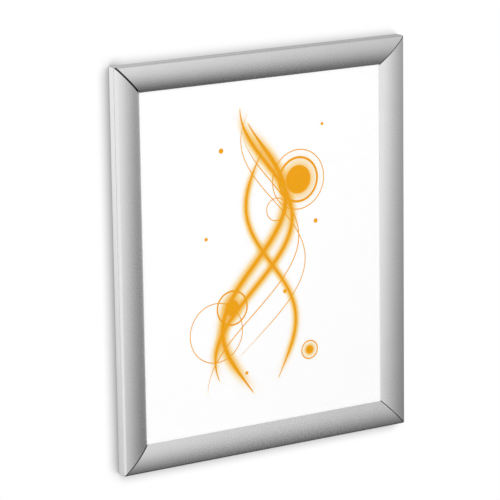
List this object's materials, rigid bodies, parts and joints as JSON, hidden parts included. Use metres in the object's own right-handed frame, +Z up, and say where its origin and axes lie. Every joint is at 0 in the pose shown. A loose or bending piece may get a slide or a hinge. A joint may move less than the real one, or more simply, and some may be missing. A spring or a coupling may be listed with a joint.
{
  "type": "led light box",
  "caption": "Portrait edge-lit wall light box: mitred silver frame with hinged snap rails over a backlit print.",
  "frame": {"origin": "middle of the back of the frame, in the plane of the wall", "axes": "+X to the right seen from the front, +Y into the wall so the lit front faces -Y, +Z up"},
  "size_m": [0.462, 0.0196, 0.5636],
  "materials": {
    "base_aluminium": "satin anodised",
    "satin_silver_aluminium": "satin silver anodised",
    "cast_aluminium": "as cast",
    "black_steel": "black oxide",
    "spring_steel": "bright spring steel",
    "back_panel_white": "matt sheet",
    "reflector_film": "satin film",
    "light_guide_acrylic": "clear polished",
    "opal_diffuser": "opal satin",
    "backlit_print": "satin translucent film",
    "matt_clear_cover": "anti-glare clear",
    "white_circuit_board": "white solder mask",
    "black_moulding": "moulded black",
    "lead_insulation": "white insulation"
  },
  "bodies": {
    "frame": {"base_rail_bottom": "base_aluminium", "base_rail_right": "base_aluminium", "base_rail_top": "base_aluminium", "base_rail_left": "base_aluminium", "corner_key_bottom_right": "cast_aluminium", "corner_key_top_right": "cast_aluminium", "corner_key_top_left": "cast_aluminium", "corner_key_bottom_left": "cast_aluminium", "grub_screw_bottom_right_1": "black_steel", "grub_screw_bottom_right_2": "black_steel", "grub_screw_top_right_1": "black_steel", "grub_screw_top_right_2": "black_steel", "grub_screw_top_left_1": "black_steel", "grub_screw_top_left_2": "black_steel", "grub_screw_bottom_left_1": "black_steel", "grub_screw_bottom_left_2": "black_steel", "leaf_spring_bottom_1": "spring_steel", "leaf_spring_bottom_2": "spring_steel", "leaf_spring_right_1": "spring_steel", "leaf_spring_right_2": "spring_steel", "leaf_spring_top_1": "spring_steel", "leaf_spring_top_2": "spring_steel", "leaf_spring_left_1": "spring_steel", "leaf_spring_left_2": "spring_steel", "rear_panel": "back_panel_white", "reflector_sheet": "reflector_film", "light_guide_plate": "light_guide_acrylic", "diffuser_sheet": "opal_diffuser", "poster_print": "backlit_print", "cover_sheet": "matt_clear_cover", "led_bar_left": "white_circuit_board", "led_bar_right": "white_circuit_board", "dc_inlet_socket": "black_moulding", "lead_left": "lead_insulation", "lead_right": "lead_insulation"},
    "snap_bottom": {"snap_rail_bottom": "satin_silver_aluminium"},
    "snap_right": {"snap_rail_right": "satin_silver_aluminium"},
    "snap_top": {"snap_rail_top": "satin_silver_aluminium"},
    "snap_left": {"snap_rail_left": "satin_silver_aluminium"}
  },
  "joints": [
    {"name": "snap_bottom_hinge", "type": "hinge", "parent": "frame", "child": "snap_bottom", "pos_m": [0, -0.0132, -0.2803], "axis": [1, 0, 0], "range_deg": [0, 90]},
    {"name": "snap_right_hinge", "type": "hinge", "parent": "frame", "child": "snap_right", "pos_m": [0.2295, -0.0132, 0], "axis": [0, 0, 1], "range_deg": [0, 90]},
    {"name": "snap_top_hinge", "type": "hinge", "parent": "frame", "child": "snap_top", "pos_m": [0, -0.0132, 0.2803], "axis": [-1, 0, 0], "range_deg": [0, 90]},
    {"name": "snap_left_hinge", "type": "hinge", "parent": "frame", "child": "snap_left", "pos_m": [-0.2295, -0.0132, 0], "axis": [0, 0, -1], "range_deg": [0, 90]}
  ]
}
